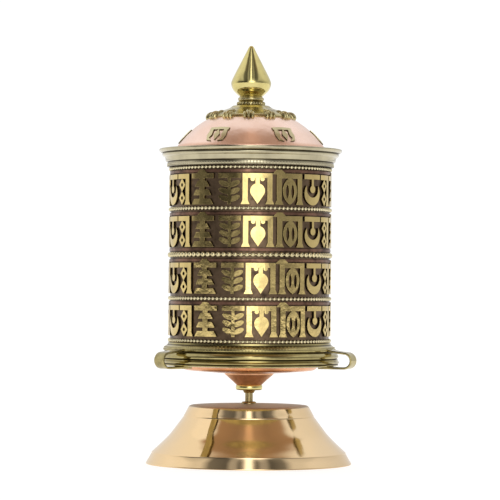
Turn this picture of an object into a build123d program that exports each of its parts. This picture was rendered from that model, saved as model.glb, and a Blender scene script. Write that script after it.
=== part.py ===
from build123d import *
import math
import os

# A table prayer wheel: a brass stand with a fixed spindle, a wheel that turns on the
# spindle's point, and a domed lid that lifts off the wheel.
# Millimetres. Z is up, the spindle is the Z axis and the stand rests on Z = 0.

# ---- driving sizes -------------------------------------------------------------------
SHEET = 0.9             # thickness of the spun sheet metal
FOOT_RADIUS = 43.2      # widest radius of the stand
STAND_TOP = 25.2        # height of the stand's top plate
SPINDLE_RADIUS = 1.65
RUNNING_FIT = 0.08      # radial play of the bush on the spindle
WHEEL_RISE = 12.8       # from the stand's top plate up to the wheel's bottom plate
DISH_DEPTH = 3.2        # how far the bottom plate hangs below the lower flange
DRUM_RADIUS = 33.3      # outside of the plain drum wall, the ground of the ornament
DRUM_WALL = 0.8
RELIEF = 0.8            # how far the ornament stands off the ground
STRIP_RELIEF = 0.5      # how far the plain strips stand off the ground
ROW_HEIGHT = 12.7       # height of a row of ornament, without its crests
FLANGE_HEIGHT = 8.7     # how far the lower flange covers the drum wall
CORNICE_HEIGHT = 6.8    # how far the upper flange covers the drum wall
CORNICE_REACH = 5.1     # how far the upper flange's rim stands out from the drum wall
MOUTH_LEDGE = 3.3       # how far the upper flange's ledge stands in from the drum wall
LOOP_WIDTH = 6.3        # width of a finger loop's strap
LOOP_REACH = 9.1        # how far a finger loop stands out from the lower flange
DOME_RISE = 16.4        # height of the dome over its foot
LID_PLAY = 0.3          # radial gap of the lid's skirt in the wheel's mouth
SKIRT_DEPTH = 4.7       # how far the lid's skirt drops into the mouth
ORNAMENT_RELIEF = 0.5   # how far the dome's ornaments stand off the dome
COLLAR_RADIUS = 18.4    # radius of the collar without its knobs
STUD_RADIUS = 1.6       # the finial's stud
BUD_RADIUS = 8.4
BUD_HEIGHT = 21.4
NUT_HEIGHT = 2.6
NUT_ACROSS = 6.4        # across the flats
WASHER_HEIGHT = 0.8

# ---- the courses of ornament, from the bottom of the drum up -------------------------
CREST_HEIGHT = 1.5      # how far a gable rises over the row
STRIP_GAP = 0.3
STRIP_HEIGHT = 1.5
WIRE_SEAT = 0.2         # how far a bead wire's middle lies outside the drum wall
TOP_WIRE = 0.85         # radius of the wire under the upper flange
TOP_WIRE_GAP = 0.05     # gap on each side of that wire

# A course is a bead wire, a row of ornament and the strip over it. Each line gives the gap
# under the wire, the wire's radius, the gap over it, whether a grained strip lies over the
# wire, and how far the row is turned, in degrees.
COURSES = [
    (0.1, 0.85, 1.1, False, 3.4),
    (0.25, 0.85, 1.15, False, 2.6),
    (0.45, 1.15, 0.15, True, 0.5),
    (0.55, 0.85, 0.65, False, 0.0),
]

# ---- levels and radii that follow ----------------------------------------------------
WHEEL_BOTTOM = STAND_TOP + WHEEL_RISE
WEB_BOTTOM = WHEEL_BOTTOM + DISH_DEPTH
DRUM_BOTTOM = WEB_BOTTOM + SHEET
bead_wire_places = []
course_bases = []
grained_bases = []
level = DRUM_BOTTOM + FLANGE_HEIGHT
for gap_under, wire_radius, gap_over, has_grained_strip, turn in COURSES:
    bead_wire_places.append((level + gap_under + wire_radius, wire_radius))
    level = level + gap_under + 2 * wire_radius + gap_over
    if has_grained_strip:
        grained_bases.append(level)
        level = level + STRIP_HEIGHT + STRIP_GAP
    course_bases.append(level)
    level = level + ROW_HEIGHT + STRIP_GAP + STRIP_HEIGHT
bead_wire_places.append((level + TOP_WIRE_GAP + TOP_WIRE, TOP_WIRE))
CORNICE_FOOT = level + 2 * (TOP_WIRE_GAP + TOP_WIRE)
DRUM_TOP = CORNICE_FOOT + CORNICE_HEIGHT
LEDGE_TOP = DRUM_TOP + SHEET

DRUM_INSIDE = DRUM_RADIUS - DRUM_WALL
RELIEF_RADIUS = DRUM_RADIUS + RELIEF
STRIP_RADIUS = DRUM_RADIUS + STRIP_RELIEF
FLANGE_RADIUS = DRUM_RADIUS + 4.5
MOUTH_RADIUS = DRUM_RADIUS - MOUTH_LEDGE
SHOULDER_RADIUS = MOUTH_RADIUS + 1.5
SHOULDER_HEIGHT = 0.8
LID_FOOT = LEDGE_TOP + SHOULDER_HEIGHT

# The dome is part of a sphere through its foot's edge and its top.
DOME_FOOT_RADIUS = SHOULDER_RADIUS - 0.5
DOME_TOP = LID_FOOT + DOME_RISE
DOME_RADIUS = (DOME_FOOT_RADIUS ** 2 + DOME_RISE ** 2) / (2 * DOME_RISE)
DOME_CENTRE = DOME_TOP - DOME_RADIUS
DOME_INSIDE = DOME_RADIUS - SHEET
COLLAR_TOP = DOME_TOP + 1.1


def on_dome(radius, lift):
    """The point of the dome's outline at this radius, raised by this lift."""
    return (radius, DOME_CENTRE + math.sqrt(DOME_RADIUS ** 2 - radius ** 2) + lift)


# The wheel is turned so that one finger loop lies on the X axis.
LOOP_ANGLES = (0, 120, 240)
UNIT_START = -67.5      # direction that the ornament's angles are counted from
UNITS = 3               # the frieze repeats three times round the drum


def direction(angle):
    """The level unit vector at this angle from the X axis."""
    turn = math.radians(angle)
    return Vector(math.cos(turn), math.sin(turn), 0)


def upright_plane(angle, radius, height):
    """A plane square to the direction at this angle, with its X level and its Y up."""
    outward = direction(angle)
    sideways = direction(angle + 90)
    return Plane(origin=outward * radius + Vector(0, 0, height), x_dir=sideways, z_dir=outward)


# ---- shapes of the frieze ------------------------------------------------------------
# X is along the row and Y is up from the row's foot. The shapes are drawn for a drum of
# radius 33.3 and a row 12.7 high, and stretched to the drum and the row that there are.
DRAWN_RADIUS = 33.3
DRAWN_HEIGHT = 12.7
WIDE = DRUM_RADIUS / DRAWN_RADIUS
TALL = ROW_HEIGHT / DRAWN_HEIGHT
BAR = 2.0               # depth of the bar along the top of each group


def plate(*points):
    """A flat plate with these corners."""
    Polygon(*[(x * WIDE, y * TALL) for x, y in points], align=None)


def block(x, y, width, height):
    """A rectangle round this middle."""
    with Locations((x * WIDE, y * TALL)):
        Rectangle(width * WIDE, height * TALL)


def disc(x, y, radius, mode=Mode.ADD):
    """A disc round this middle."""
    with Locations((x * WIDE, y * TALL)):
        Ellipse(radius * WIDE, radius * TALL, mode=mode)


def leaf(x, foot, tip, swell, mode=Mode.ADD):
    """A pointed leaf that swells to each side of a line."""
    middle = (foot + tip) / 2 * TALL
    with BuildLine() as outline:
        ThreePointArc((x * WIDE, foot * TALL), ((x - swell) * WIDE, middle), (x * WIDE, tip * TALL))
        ThreePointArc((x * WIDE, tip * TALL), ((x + swell) * WIDE, middle), (x * WIDE, foot * TALL))
    make_face(outline.edges(), mode=mode)


def head_bar(half_width):
    """The level bar that the shapes below hang from."""
    block(0, DRAWN_HEIGHT - BAR / 2, 2 * half_width, BAR)


def gable():
    """A small crest with sloping shoulders on top of the bar."""
    low = DRAWN_HEIGHT - 0.4
    high = DRAWN_HEIGHT + CREST_HEIGHT
    plate((-2.7, low), (2.7, low), (2.7, DRAWN_HEIGHT), (1.1, high), (-1.1, high), (-2.7, DRAWN_HEIGHT))


def pilaster():
    """A straight post with a flared foot."""
    plate((-1.85, 0), (1.85, 0), (1.1, 1.7), (1.1, DRAWN_HEIGHT), (-1.1, DRAWN_HEIGHT), (-1.1, 1.7))


def crested_pilaster():
    """A post with a gable over it."""
    pilaster()
    gable()


def sprig():
    """A stem with three pairs of leaves."""
    head_bar(4.7)
    block(0, 5.6, 1.3, 11.2)
    for height in (1.7, 4.7, 7.7):
        for side in (-1, 1):
            with Locations(Location((side * 2.3 * WIDE, (height + 0.75) * TALL, 0), (0, 0, side * 24))):
                Ellipse(2.35 * WIDE, 1.1 * TALL)


def bud():
    """A hanging bud with its point down."""
    head_bar(5.0)
    block(0, 9.6, 1.8, 3.2)
    disc(0, 5.5, 3.05)
    plate((-2.6, 3.95), (2.6, 3.95), (0, 0.1))
    for side in (-1, 1):
        disc(side * 2.0, 10.3, 0.9)


def slit_leaf():
    """An upright pointed leaf with a slit on each side of its rib."""
    head_bar(4.6)
    leaf(0, 0, 11.2, 3.3)
    for side in (-1, 1):
        leaf(side * 1.25, 2.4, 8.4, 0.75, Mode.SUBTRACT)


def crescent():
    """A crescent with its horns up round a pearl."""
    disc(0, 4.85, 4.85)
    disc(0, 6.95, 3.75, Mode.SUBTRACT)
    disc(0, 6.6, 1.55)
    block(0, 9.6, 1.2, 4.0)
    head_bar(4.9)


def lozenges():
    """Two lozenges, one over the other, each with a round eye."""
    head_bar(3.1)
    for middle in (2.8, 8.2):
        plate((0, middle - 2.8), (2.3, middle), (0, middle + 2.8), (-2.3, middle))
        disc(0, middle, 0.75, Mode.SUBTRACT)


def tiered_roof():
    """A tower of three roofs under a gable."""
    head_bar(5.5)
    gable()
    block(0, 5.6, 2.4, 11.2)
    for foot, half in ((0.0, 5.4), (3.75, 4.5), (7.35, 3.6)):
        plate((-half, foot), (half, foot), (half - 1.3, foot + 2.3), (1.3 - half, foot + 2.3))


# Each shape and the direction it faces, in degrees round the wheel from UNIT_START.
FRIEZE = [
    (sprig, -14.8),
    (pilaster, -3.6),
    (bud, 4.9),
    (pilaster, 13.5),
    (crested_pilaster, 20.3),
    (slit_leaf, 28.5),
    (pilaster, 36.6),
    (crescent, 49.0),
    (lozenges, 64.0),
    (pilaster, 70.2),
    (tiered_roof, 84.2),
]

# One third of a row, standing on Z = 0. The rows are copies of it.
with BuildPart() as frieze_unit:
    for shape, angle in FRIEZE:
        with BuildSketch(upright_plane(UNIT_START + angle, DRUM_RADIUS - 2, 0)):
            shape()
        extrude(amount=RELIEF + 4)
    with BuildSketch(Plane.XY.offset(-1)):
        Circle(RELIEF_RADIUS)
        Circle(DRUM_RADIUS, mode=Mode.SUBTRACT)
    extrude(amount=ROW_HEIGHT + CREST_HEIGHT * TALL + 2, mode=Mode.INTERSECT)
    with BuildSketch(Plane.XY.offset(ROW_HEIGHT + STRIP_GAP)):
        Circle(STRIP_RADIUS)
    extrude(amount=STRIP_HEIGHT + 1, mode=Mode.SUBTRACT)


# ======================================================================================
# Stand: the fixed body
# ======================================================================================

# The shell is one spun sheet: a thin lip, a straight foot band, a hollow-curved side,
# a straight band at the shoulder and a nearly flat top.
with BuildPart() as stand_shell:
    with BuildSketch(Plane.XZ):
        with BuildLine():
            Line((FOOT_RADIUS, 0), (FOOT_RADIUS, 0.45))
            Line((FOOT_RADIUS, 0.45), (FOOT_RADIUS - 2.6, 4.8))
            ThreePointArc(
                (FOOT_RADIUS - 2.6, 4.8),
                (FOOT_RADIUS - 9.7, STAND_TOP - 13.1),
                (FOOT_RADIUS - 15.9, STAND_TOP - 5.2),
            )
            Line((FOOT_RADIUS - 15.9, STAND_TOP - 5.2), (FOOT_RADIUS - 18.8, STAND_TOP - 1.6))
            Line((FOOT_RADIUS - 18.8, STAND_TOP - 1.6), (FOOT_RADIUS - 20.0, STAND_TOP - 0.8))
            Line((FOOT_RADIUS - 20.0, STAND_TOP - 0.8), (5.0, STAND_TOP))
            Line((5.0, STAND_TOP), (SPINDLE_RADIUS, STAND_TOP))
            offset(amount=SHEET, side=Side.LEFT)
        make_face()
    revolve(axis=Axis.Z)
stand_shell.part.label = "stand_shell"

# The spindle passes through the top plate and ends in a blunt point inside the wheel.
SPINDLE_TIP = DRUM_TOP - 12.0
SPINDLE_FOOT = STAND_TOP - SHEET - WASHER_HEIGHT - NUT_HEIGHT - 0.9
with BuildPart() as spindle:
    with BuildSketch(Plane.XZ):
        Polygon(
            (0, SPINDLE_FOOT),
            (SPINDLE_RADIUS - 0.3, SPINDLE_FOOT),
            (SPINDLE_RADIUS, SPINDLE_FOOT + 0.3),
            (SPINDLE_RADIUS, SPINDLE_TIP - 2.2),
            (0.4, SPINDLE_TIP),
            (0, SPINDLE_TIP),
            align=None,
        )
    revolve(axis=Axis.Z)
spindle.part.label = "spindle"

# A ring sits round the spindle where it leaves the top plate.
RING_HEIGHT = 0.9
with BuildPart() as spindle_ring:
    with BuildSketch(Plane.XZ):
        Polygon(
            (SPINDLE_RADIUS, STAND_TOP),
            (SPINDLE_RADIUS + 1.5, STAND_TOP),
            (SPINDLE_RADIUS + 1.3, STAND_TOP + 0.5),
            (SPINDLE_RADIUS + 0.6, STAND_TOP + RING_HEIGHT),
            (SPINDLE_RADIUS, STAND_TOP + RING_HEIGHT),
            align=None,
        )
    revolve(axis=Axis.Z)
spindle_ring.part.label = "spindle_ring"

# Under the plate a washer and a nut draw the ring down.
WASHER_FOOT = STAND_TOP - SHEET - WASHER_HEIGHT
with BuildPart() as spindle_washer:
    with BuildSketch(Plane.XY.offset(WASHER_FOOT)):
        Circle(SPINDLE_RADIUS + 3.2)
        Circle(SPINDLE_RADIUS, mode=Mode.SUBTRACT)
    extrude(amount=WASHER_HEIGHT)
spindle_washer.part.label = "spindle_washer"

with BuildPart() as spindle_nut:
    with BuildSketch(Plane.XY.offset(WASHER_FOOT - NUT_HEIGHT)):
        RegularPolygon(NUT_ACROSS / 2, 6, major_radius=False)
        Circle(SPINDLE_RADIUS, mode=Mode.SUBTRACT)
    extrude(amount=NUT_HEIGHT)
spindle_nut.part.label = "spindle_nut"

# ======================================================================================
# Wheel: turns on the spindle
# ======================================================================================

# The brass bush that guides the wheel's lower end on the spindle. Its spigot carries the
# cone, and a short nose hangs below it.
BUSH_BORE = SPINDLE_RADIUS + RUNNING_FIT
BUSH_RADIUS = SPINDLE_RADIUS + 3.95
SPIGOT_RADIUS = BUSH_RADIUS - 1.5
SPIGOT_HEIGHT = 1.6
CONE_HEIGHT = 4.9
CONE_RADIUS = 10.3
CONE_BOTTOM = WHEEL_BOTTOM - CONE_HEIGHT
with BuildPart() as lower_bush:
    with BuildSketch(Plane.XZ):
        Polygon(
            (BUSH_BORE, CONE_BOTTOM - 3.4),
            (BUSH_BORE + 0.4, CONE_BOTTOM - 3.4),
            (BUSH_BORE + 1.0, CONE_BOTTOM - 2.2),
            (BUSH_RADIUS - 0.8, CONE_BOTTOM - 2.2),
            (BUSH_RADIUS, CONE_BOTTOM - 1.5),
            (BUSH_RADIUS, CONE_BOTTOM),
            (SPIGOT_RADIUS, CONE_BOTTOM),
            (SPIGOT_RADIUS, CONE_BOTTOM + SPIGOT_HEIGHT),
            (BUSH_BORE, CONE_BOTTOM + SPIGOT_HEIGHT),
            align=None,
        )
    revolve(axis=Axis.Z)
lower_bush.part.label = "lower_bush"

# The copper cone between the bush and the bottom plate.
with BuildPart() as bearing_cone:
    with BuildSketch(Plane.XZ):
        Polygon(
            (SPIGOT_RADIUS, CONE_BOTTOM),
            (BUSH_RADIUS - 0.35, CONE_BOTTOM),
            (CONE_RADIUS, WHEEL_BOTTOM - 0.4),
            (CONE_RADIUS, WHEEL_BOTTOM),
            (CONE_RADIUS - 1.3, WHEEL_BOTTOM),
            (SPIGOT_RADIUS, CONE_BOTTOM + 0.5),
            align=None,
        )
    revolve(axis=Axis.Z)
bearing_cone.part.label = "bearing_cone"

# The copper bottom plate is a shallow dish that the scroll stands in. Its rim lies on the
# lower flange's web.
TUBE_INSIDE = SPINDLE_RADIUS + 0.65
TUBE_OUTSIDE = TUBE_INSIDE + 0.7
SCROLL_RADIUS = DRUM_INSIDE - 6.5
DISH_LIFT = 1.2         # how far the dish rises from its middle to the scroll's edge
with BuildPart() as bottom_plate:
    with BuildSketch(Plane.XZ):
        with BuildLine():
            Polyline(
                (TUBE_INSIDE, WHEEL_BOTTOM),
                (CONE_RADIUS + 0.7, WHEEL_BOTTOM),
                (SCROLL_RADIUS + 0.5, WHEEL_BOTTOM + DISH_LIFT),
                (DRUM_RADIUS - 5.3, WEB_BOTTOM - 1.2),
                (DRUM_RADIUS - 4.6, WEB_BOTTOM - 0.2),
                (DRUM_RADIUS - 3.3, DRUM_BOTTOM),
                (DRUM_INSIDE, DRUM_BOTTOM),
            )
            offset(amount=SHEET, side=Side.LEFT)
        make_face()
    revolve(axis=Axis.Z)
bottom_plate.part.label = "bottom_plate"

# The lower flange is one stamped sheet: a web under the drum, a round edge and mouldings.
FLANGE_OUTLINE = [
    (DRUM_RADIUS - 2.3, WEB_BOTTOM),
    (DRUM_RADIUS + 2.6, WEB_BOTTOM),
    (FLANGE_RADIUS - 0.4, WEB_BOTTOM + 0.8),
    (FLANGE_RADIUS, WEB_BOTTOM + 1.7),
    (FLANGE_RADIUS - 0.4, WEB_BOTTOM + 2.7),
    (DRUM_RADIUS + 3.5, WEB_BOTTOM + 3.6),
    (DRUM_RADIUS + 3.3, WEB_BOTTOM + 4.8),
    (DRUM_RADIUS + 2.7, WEB_BOTTOM + 6.1),
    (DRUM_RADIUS + 2.0, WEB_BOTTOM + 7.3),
    (DRUM_RADIUS + 1.6, WEB_BOTTOM + 8.2),
    (DRUM_RADIUS + SHEET, DRUM_BOTTOM + FLANGE_HEIGHT - 0.7),
    (DRUM_RADIUS + SHEET, DRUM_BOTTOM + FLANGE_HEIGHT),
]
with BuildPart() as bottom_flange:
    with BuildSketch(Plane.XZ):
        with BuildLine():
            Polyline(*FLANGE_OUTLINE)
            offset(amount=SHEET, side=Side.LEFT)
        make_face()
    revolve(axis=Axis.Z)
bottom_flange.part.label = "bottom_flange"

# The drum wall.
with BuildPart() as drum_shell:
    with BuildSketch(Plane.XY.offset(DRUM_BOTTOM)):
        Circle(DRUM_RADIUS)
        Circle(DRUM_INSIDE, mode=Mode.SUBTRACT)
    extrude(amount=DRUM_TOP - DRUM_BOTTOM)
drum_shell.part.label = "drum_shell"

# The upper flange is a cornice that flares up to a rim, with a ledge inside for the lid.
with BuildPart() as top_flange:
    with BuildSketch(Plane.XZ):
        with BuildLine():
            Polyline(
                (DRUM_RADIUS + SHEET, CORNICE_FOOT),
                (DRUM_RADIUS + SHEET, CORNICE_FOOT + 0.6),
                (DRUM_RADIUS + 2.0, DRUM_TOP - 4.8),
                (DRUM_RADIUS + 2.6, DRUM_TOP - 3.5),
                (DRUM_RADIUS + 3.0, DRUM_TOP - 2.7),
                (DRUM_RADIUS + 3.7, DRUM_TOP - 1.4),
                (DRUM_RADIUS + CORNICE_REACH - 0.7, DRUM_TOP - 0.2),
                (DRUM_RADIUS + CORNICE_REACH, LEDGE_TOP - 0.4),
                (DRUM_RADIUS + CORNICE_REACH, LEDGE_TOP),
                (MOUTH_RADIUS, LEDGE_TOP),
            )
            offset(amount=SHEET, side=Side.LEFT)
        make_face()
    revolve(axis=Axis.Z)
top_flange.part.label = "top_flange"

# Four rows of ornament, soldered on the drum wall.
motif_rows = []
for number, (base, course) in enumerate(zip(course_bases, COURSES), start=1):
    turn = course[-1]
    with BuildPart() as motif_row:
        with Locations(Location((0, 0, base), (0, 0, turn))):
            with PolarLocations(0, UNITS):
                add(frieze_unit.part)
    motif_row.part.label = f"motif_row_{number}"
    motif_rows.append(motif_row.part)

# A plain copper strip runs over each row.
copper_strips = []
for number, base in enumerate(course_bases, start=1):
    with BuildPart() as copper_strip:
        with BuildSketch(Plane.XY.offset(base + ROW_HEIGHT + STRIP_GAP)):
            Circle(STRIP_RADIUS)
            Circle(DRUM_RADIUS, mode=Mode.SUBTRACT)
        extrude(amount=STRIP_HEIGHT)
    copper_strip.part.label = f"copper_strip_{number}"
    copper_strips.append(copper_strip.part)

# One more strip, with a grained face, lies over the large bead wire.
with BuildPart() as grained_strip:
    with BuildSketch(Plane.XY.offset(grained_bases[0])):
        Circle(STRIP_RADIUS)
        Circle(DRUM_RADIUS, mode=Mode.SUBTRACT)
    extrude(amount=STRIP_HEIGHT)
grained_strip.part.label = "grained_strip"

# Bead wires: round wire with its back flat against the drum wall.
bead_wires = []
for number, (height, radius) in enumerate(bead_wire_places, start=1):
    with BuildPart() as bead_wire:
        with BuildSketch(Plane.XZ):
            with Locations((DRUM_RADIUS + WIRE_SEAT, height)):
                Circle(radius)
            with Locations((DRUM_RADIUS - 5, height)):
                Rectangle(10, 10, mode=Mode.SUBTRACT)
        revolve(axis=Axis.Z)
    bead_wire.part.label = f"bead_wire_{number}"
    bead_wires.append(bead_wire.part)

# Inside, a tube round the spindle carries the scroll and ends in the pivot cup.
PLATE_TOP = WHEEL_BOTTOM + SHEET
TUBE_TOP = SPINDLE_TIP + 2.0
with BuildPart() as core_tube:
    with BuildSketch(Plane.XY.offset(PLATE_TOP)):
        Circle(TUBE_OUTSIDE)
        Circle(TUBE_INSIDE, mode=Mode.SUBTRACT)
    extrude(amount=TUBE_TOP - PLATE_TOP)
core_tube.part.label = "core_tube"

CUP_PLAY = 0.05
CUP_SEAT = SPINDLE_TIP + CUP_PLAY
with BuildPart() as pivot_cup:
    with BuildSketch(Plane.XZ):
        Polygon(
            (0, CUP_SEAT),
            (0.6, CUP_SEAT),
            (TUBE_INSIDE - 0.3, TUBE_TOP - 3.5),
            (TUBE_INSIDE, TUBE_TOP - 3.5),
            (TUBE_INSIDE, TUBE_TOP),
            (TUBE_OUTSIDE + 0.5, TUBE_TOP),
            (TUBE_OUTSIDE + 0.5, TUBE_TOP + 0.8),
            (TUBE_OUTSIDE, TUBE_TOP + 1.2),
            (0, TUBE_TOP + 1.2),
            align=None,
        )
    revolve(axis=Axis.Z)
pivot_cup.part.label = "pivot_cup"

# The paper scroll is wound on the tube and held by a paper band.
SCROLL_BOTTOM = PLATE_TOP + DISH_LIFT
SCROLL_TOP = DRUM_TOP - 19.0
with BuildPart() as prayer_scroll:
    with BuildSketch(Plane.XY.offset(SCROLL_BOTTOM)):
        Circle(SCROLL_RADIUS)
        Circle(TUBE_OUTSIDE, mode=Mode.SUBTRACT)
    extrude(amount=SCROLL_TOP - SCROLL_BOTTOM)
prayer_scroll.part.label = "prayer_scroll"

BAND_HEIGHT = 14.0
with BuildPart() as scroll_band:
    with BuildSketch(Plane.XY.offset((SCROLL_BOTTOM + SCROLL_TOP - BAND_HEIGHT) / 2)):
        Circle(SCROLL_RADIUS + 0.3)
        Circle(SCROLL_RADIUS, mode=Mode.SUBTRACT)
    extrude(amount=BAND_HEIGHT)
scroll_band.part.label = "scroll_band"

# Three finger loops: brass strap bent from the flange's side round to its underside.
LOOP_FLOOR = WEB_BOTTOM
LOOP_INNER = FLANGE_RADIUS + LOOP_REACH - SHEET
finger_loops = []
for number, angle in enumerate(LOOP_ANGLES, start=1):
    loop_plane = Plane(origin=(0, 0, 0), x_dir=direction(angle), z_dir=direction(angle - 90))
    with BuildPart() as finger_loop:
        with BuildSketch(loop_plane):
            with BuildLine():
                Line((DRUM_RADIUS - 1.3, LOOP_FLOOR), (LOOP_INNER - 2.6, LOOP_FLOOR))
                ThreePointArc(
                    (LOOP_INNER - 2.6, LOOP_FLOOR),
                    (LOOP_INNER, LOOP_FLOOR + 2.7),
                    (LOOP_INNER - 2.1, LOOP_FLOOR + 5.2),
                )
                Line((LOOP_INNER - 2.1, LOOP_FLOOR + 5.2), (DRUM_RADIUS + 1.5, LOOP_FLOOR + 6.6))
                offset(amount=SHEET, side=Side.RIGHT)
            make_face()
        extrude(amount=LOOP_WIDTH / 2, both=True)
        with BuildSketch(Plane.XZ):
            Polygon((0, WEB_BOTTOM), *FLANGE_OUTLINE, (0, DRUM_BOTTOM + FLANGE_HEIGHT), align=None)
        revolve(axis=Axis.Z, mode=Mode.SUBTRACT)
    finger_loop.part.label = f"finger_loop_{number}"
    finger_loops.append(finger_loop.part)

# ======================================================================================
# Lid: lifts off the wheel
# ======================================================================================

# The skirt drops into the wheel's mouth, and its shoulder rests on the ledge.
SKIRT_RADIUS = MOUTH_RADIUS - LID_PLAY
with BuildPart() as lid_skirt:
    with BuildSketch(Plane.XZ):
        Polygon(
            (SKIRT_RADIUS - SHEET, LEDGE_TOP - SKIRT_DEPTH),
            (SKIRT_RADIUS, LEDGE_TOP - SKIRT_DEPTH),
            (SKIRT_RADIUS, LEDGE_TOP),
            (SHOULDER_RADIUS, LEDGE_TOP),
            (SHOULDER_RADIUS, LID_FOOT),
            (SKIRT_RADIUS - SHEET, LID_FOOT),
            align=None,
        )
    revolve(axis=Axis.Z)
lid_skirt.part.label = "lid_skirt"

# The copper dome is a spun cap with a hole for the finial's stud.
with BuildPart() as dome:
    with BuildSketch(Plane.XZ):
        with Locations((0, DOME_CENTRE)):
            Circle(DOME_RADIUS)
            Circle(DOME_INSIDE, mode=Mode.SUBTRACT)
        with Locations((STUD_RADIUS + DOME_RADIUS, LID_FOOT + DOME_RADIUS)):
            Rectangle(2 * DOME_RADIUS, 2 * DOME_RADIUS, mode=Mode.INTERSECT)
    revolve(axis=Axis.Z)
dome.part.label = "dome"

# Six cut ornaments on the dome, one every sixty degrees: a bud between two leaves that
# hang from a bar.
ORNAMENT_LIFT = 5.5     # from the dome's foot up to an ornament's middle, along the dome
FOOT_TILT = math.degrees(math.asin(DOME_FOOT_RADIUS / DOME_RADIUS))
ORNAMENT_TILT = FOOT_TILT - math.degrees(ORNAMENT_LIFT / DOME_RADIUS)
ORNAMENTS = 6
with BuildPart() as dome_ornaments:
    for index in range(ORNAMENTS):
        angle = UNIT_START + (index + 0.5) * 360 / ORNAMENTS
        normal = direction(angle) * math.sin(math.radians(ORNAMENT_TILT))
        normal = normal + Vector(0, 0, math.cos(math.radians(ORNAMENT_TILT)))
        middle = normal * (DOME_RADIUS - 2) + Vector(0, 0, DOME_CENTRE)
        with BuildSketch(Plane(origin=middle, x_dir=direction(angle + 90), z_dir=normal)):
            with Locations((0, 3.2)):
                Rectangle(8.8, 1.5)
            Polygon((0, -3.6), (1.35, -0.4), (0, 2.8), (-1.35, -0.4), align=None)
            for side in (-1, 1):
                Polygon(
                    (side * 4.0, 2.8),
                    (side * 2.6, 2.8),
                    (side * 2.2, -0.6),
                    (side * 3.0, -2.2),
                    (side * 1.5, -4.0),
                    (side * 3.8, -3.4),
                    (side * 4.5, -0.8),
                    align=None,
                )
        extrude(amount=5)
    with Locations((0, 0, DOME_CENTRE)):
        Sphere(DOME_RADIUS + ORNAMENT_RELIEF, mode=Mode.INTERSECT)
        Sphere(DOME_RADIUS, mode=Mode.SUBTRACT)
dome_ornaments.part.label = "dome_ornaments"

# The cast collar on top of the dome has knobs round its edge, with a hollow between each
# knob and the next.
KNOBS = 12
FIRST_KNOB = 19.5       # direction of a knob, in degrees
KNOB_SIZE = 2.3
knob_ring, knob_level = on_dome(COLLAR_RADIUS - 1.5, -0.2)
hollow_ring = COLLAR_RADIUS + 2.2
hollow_level = on_dome(COLLAR_RADIUS, 0)[1]
with BuildPart() as crown_collar:
    with BuildSketch(Plane.XZ):
        Polygon(
            (STUD_RADIUS, DOME_CENTRE),
            on_dome(COLLAR_RADIUS, -1.7),
            on_dome(COLLAR_RADIUS, 0.5),
            on_dome(15.4, 1.1),
            on_dome(11.1, 1.1),
            on_dome(8.6, 1.3),
            (7.6, COLLAR_TOP),
            (STUD_RADIUS, COLLAR_TOP),
            align=None,
        )
    revolve(axis=Axis.Z)
    with PolarLocations(knob_ring, KNOBS, start_angle=FIRST_KNOB):
        with Locations((0, 0, knob_level)):
            Sphere(KNOB_SIZE)
    with PolarLocations(hollow_ring, KNOBS, start_angle=FIRST_KNOB + 180 / KNOBS):
        with Locations((0, 0, hollow_level)):
            Cylinder(KNOB_SIZE, 8, mode=Mode.SUBTRACT)
    with Locations((0, 0, DOME_CENTRE)):
        Sphere(DOME_RADIUS, mode=Mode.SUBTRACT)
    with Locations((0, 0, COLLAR_TOP)):
        Cylinder(STUD_RADIUS, 20, mode=Mode.SUBTRACT)
crown_collar.part.label = "crown_collar"

# Two rings stand between the collar and the bud.
NECK_MIDDLE = COLLAR_TOP + 1.7
BUD_FOOT = NECK_MIDDLE + 2.2
with BuildPart() as lower_neck_ring:
    with BuildSketch(Plane.XZ):
        Polygon(
            (STUD_RADIUS, COLLAR_TOP),
            (5.3, COLLAR_TOP),
            (6.1, COLLAR_TOP + 0.8),
            (5.3, NECK_MIDDLE),
            (STUD_RADIUS, NECK_MIDDLE),
            align=None,
        )
    revolve(axis=Axis.Z)
lower_neck_ring.part.label = "lower_neck_ring"

with BuildPart() as upper_neck_ring:
    with BuildSketch(Plane.XZ):
        Polygon(
            (STUD_RADIUS, NECK_MIDDLE),
            (4.6, NECK_MIDDLE),
            (5.5, NECK_MIDDLE + 0.7),
            (5.5, NECK_MIDDLE + 1.6),
            (4.8, BUD_FOOT),
            (STUD_RADIUS, BUD_FOOT),
            align=None,
        )
    revolve(axis=Axis.Z)
upper_neck_ring.part.label = "upper_neck_ring"

# The turned bud has a stud that goes down through the rings, the collar and the dome.
# Inside the dome a domed washer and a nut hold the stud.
FINIAL_WASHER_FOOT = DOME_CENTRE + DOME_INSIDE - 1.3
STUD_END = FINIAL_WASHER_FOOT - NUT_HEIGHT - 1.3
BUD_WAIST = 4.8
BUD_TIP = BUD_FOOT + BUD_HEIGHT
BUD_WIDEST = BUD_FOOT + 5.2
with BuildPart() as finial:
    with BuildSketch(Plane.XZ):
        with BuildLine():
            Polyline((0, STUD_END), (STUD_RADIUS, STUD_END), (STUD_RADIUS, BUD_FOOT), (BUD_WAIST, BUD_FOOT))
            ThreePointArc((BUD_WAIST, BUD_FOOT), (BUD_RADIUS - 1.0, BUD_FOOT + 2.5), (BUD_RADIUS, BUD_WIDEST))
            Polyline(
                (BUD_RADIUS, BUD_WIDEST),
                (BUD_RADIUS, BUD_WIDEST + 0.8),
                (BUD_RADIUS - 0.55, BUD_WIDEST + 2.3),
                (1.06, BUD_TIP - 0.63),
                (0.6, BUD_TIP - 0.2),
                (0, BUD_TIP),
                (0, STUD_END),
            )
        make_face()
    revolve(axis=Axis.Z)
finial.part.label = "finial"

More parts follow.
